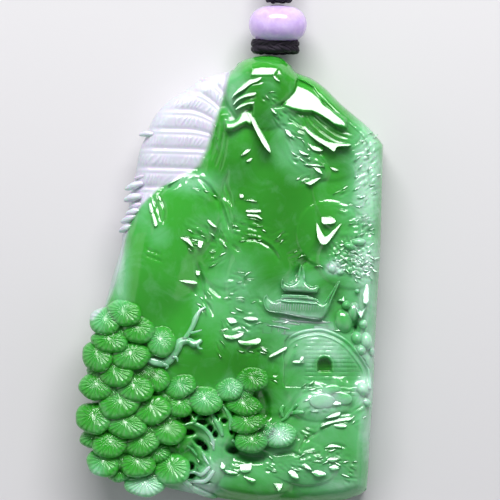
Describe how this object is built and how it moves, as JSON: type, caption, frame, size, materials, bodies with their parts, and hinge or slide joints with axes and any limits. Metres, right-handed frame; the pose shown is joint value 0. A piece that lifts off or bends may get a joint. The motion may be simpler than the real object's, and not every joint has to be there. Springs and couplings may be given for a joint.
{
  "type": "pendant",
  "caption": "Carved green and lavender jade landscape plaque with mountain, pavilion, arched wall and pine tree, on a black cord with a lavender bead",
  "frame": {"origin": "Centre of the underside of the carving, knots and bead as they lie; the back of the carving is at z = 0.", "axes": "+Y runs from the carving's foot to its hanging hole and the bead, +Z out of the carved face, +X to the right of the carved face."},
  "size_m": [0.0472, 0.1217, 0.012],
  "materials": {
    "green_jade": "polished jadeite, vivid green turning lavender white at the upper left, glossy and slightly translucent",
    "lavender_jade": "polished pale lavender jadeite",
    "black_cord": "black braided cord with a faint sheen"
  },
  "bodies": {
    "root": {"jade_carving": "green_jade", "lavender_bead": "lavender_jade", "hanging_loop": "black_cord", "collar_knot": "black_cord", "bead_cord": "black_cord", "top_knot": "black_cord", "neck_cord_out": "black_cord", "neck_cord_coil": "black_cord", "neck_cord_back": "black_cord", "coil_tie": "black_cord"}
  },
  "joints": []
}
